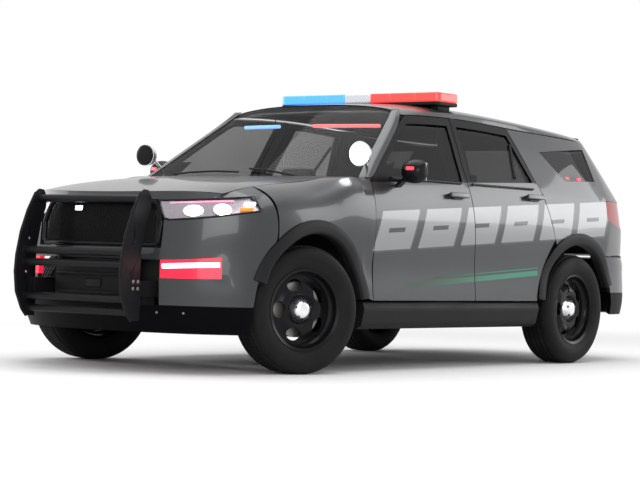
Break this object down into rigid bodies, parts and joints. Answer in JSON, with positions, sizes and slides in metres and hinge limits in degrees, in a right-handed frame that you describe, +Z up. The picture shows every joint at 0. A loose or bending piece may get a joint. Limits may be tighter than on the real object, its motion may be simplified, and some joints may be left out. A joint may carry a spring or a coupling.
{
  "type": "police patrol car",
  "caption": "Three-row patrol car with push bumper, roof lightbar, opening doors, bonnet and tailgate, steered and rolling wheels",
  "frame": {"origin": "on the ground under the middle of the overall box", "axes": "+X towards the front, +Y to the car's left, +Z up"},
  "size_m": [5.263, 2.262, 1.8159],
  "materials": {
    "body_paint": "dark grey metallic with a clear coat",
    "black_plastic": "fine grained moulded black plastic",
    "underbody": "dull black underbody coating",
    "clear_glass": "clear laminated glass",
    "tinted_glass": "dark privacy glass",
    "lamp_glass": "clear lamp cover over bright reflectors",
    "red_lens": "ribbed red lens",
    "beacon_lens": "blue, clear and red beacon lens",
    "black_powder_coat": "satin black powder coat",
    "bright_metal": "polished",
    "dark_metal": "dark cast metal",
    "dull_steel": "dull drawn steel",
    "cabin_plastic": "soft black cabin moulding",
    "seat_fabric": "black woven seat cloth",
    "gloss_black": "gloss black",
    "tyre_rubber": "ribbed black tyre rubber",
    "wheel_steel": "black painted pressed steel"
  },
  "bodies": {
    "body": {"floor_pan": "underbody", "engine_bay": "underbody", "inner_sides": "underbody", "body_sides": "body_paint", "roof": "body_paint", "windshield": "clear_glass", "quarter_glass": "tinted_glass", "front_fenders": "body_paint", "front_bumper": "body_paint", "grille": "black_plastic", "headlamps": "lamp_glass", "rear_bumper": "body_paint", "tail_lamps": "red_lens", "wheel_arch_flares": "black_plastic", "push_bumper": "black_powder_coat", "lightbar": "beacon_lens", "spotlights": "bright_metal", "engine": "dark_metal", "dashboard": "cabin_plastic", "steering_wheel": "cabin_plastic", "seats": "seat_fabric", "front_suspension": "dark_metal", "rear_suspension": "dark_metal", "exhaust": "dull_steel"},
    "bonnet": {"hood": "body_paint"},
    "front_door_left": {"front_door_left": "body_paint", "front_glass_left": "tinted_glass", "mirror_left": "gloss_black"},
    "front_door_right": {"front_door_right": "body_paint", "front_glass_right": "tinted_glass", "mirror_right": "gloss_black"},
    "rear_door_left": {"rear_door_left": "body_paint", "rear_glass_left": "tinted_glass"},
    "rear_door_right": {"rear_door_right": "body_paint", "rear_glass_right": "tinted_glass"},
    "tailgate": {"tailgate": "body_paint", "tailgate_glass": "tinted_glass", "number_plate_holder": "black_plastic"},
    "knuckle_left": {"knuckle_left": "dark_metal"},
    "knuckle_right": {"knuckle_right": "dark_metal"},
    "wheel_front_left": {"tyre_front_left": "tyre_rubber", "rim_front_left": "wheel_steel"},
    "wheel_front_right": {"tyre_front_right": "tyre_rubber", "rim_front_right": "wheel_steel"},
    "wheel_rear_left": {"tyre_rear_left": "tyre_rubber", "rim_rear_left": "wheel_steel"},
    "wheel_rear_right": {"tyre_rear_right": "tyre_rubber", "rim_rear_right": "wheel_steel"}
  },
  "joints": [
    {"name": "steer_left", "type": "hinge", "parent": "body", "child": "knuckle_left", "pos_m": [1.5285, 0.7755, 0.3816], "axis": [0, 0, 1], "range_deg": [-17, 53]},
    {"name": "steer_right", "type": "hinge", "parent": "body", "child": "knuckle_right", "pos_m": [1.5285, -0.7755, 0.3816], "axis": [0, 0, 1], "range_deg": [-17, 53]},
    {"name": "front_left_spin", "type": "hinge", "parent": "knuckle_left", "child": "wheel_front_left", "pos_m": [1.55168, 0.84683, 0.3816], "axis": [0.309, 0.9511, 0], "continuous": true},
    {"name": "front_right_spin", "type": "hinge", "parent": "knuckle_right", "child": "wheel_front_right", "pos_m": [1.50532, -0.84683, 0.3816], "axis": [0.309, 0.9511, 0], "continuous": true},
    {"name": "rear_left_spin", "type": "hinge", "parent": "body", "child": "wheel_rear_left", "pos_m": [-1.4965, 0.8505, 0.3816], "axis": [0, 1, 0], "continuous": true},
    {"name": "rear_right_spin", "type": "hinge", "parent": "body", "child": "wheel_rear_right", "pos_m": [-1.4965, -0.8505, 0.3816], "axis": [0, 1, 0], "continuous": true},
    {"name": "front_left_door_hinge", "type": "hinge", "parent": "body", "child": "front_door_left", "pos_m": [0.9535, 0.985, 0.8], "axis": [0, 0, -1], "range_deg": [0, 68]},
    {"name": "front_right_door_hinge", "type": "hinge", "parent": "body", "child": "front_door_right", "pos_m": [0.9535, -0.985, 0.8], "axis": [0, 0, 1], "range_deg": [0, 68]},
    {"name": "rear_left_door_hinge", "type": "hinge", "parent": "body", "child": "rear_door_left", "pos_m": [-0.15, 0.985, 0.8], "axis": [0, 0, -1], "range_deg": [0, 70]},
    {"name": "rear_right_door_hinge", "type": "hinge", "parent": "body", "child": "rear_door_right", "pos_m": [-0.15, -0.985, 0.8], "axis": [0, 0, 1], "range_deg": [0, 70]},
    {"name": "bonnet_hinge", "type": "hinge", "parent": "body", "child": "bonnet", "pos_m": [1.06, 0, 1.195], "axis": [0, -1, 0], "range_deg": [0, 50]},
    {"name": "tailgate_hinge", "type": "hinge", "parent": "body", "child": "tailgate", "pos_m": [-2.06395, 0, 1.662], "axis": [0, 1, 0], "range_deg": [0, 85]}
  ],
  "couplings": [
    {"joint": "steer_right", "follows": "steer_left", "ratio": 1}
  ]
}
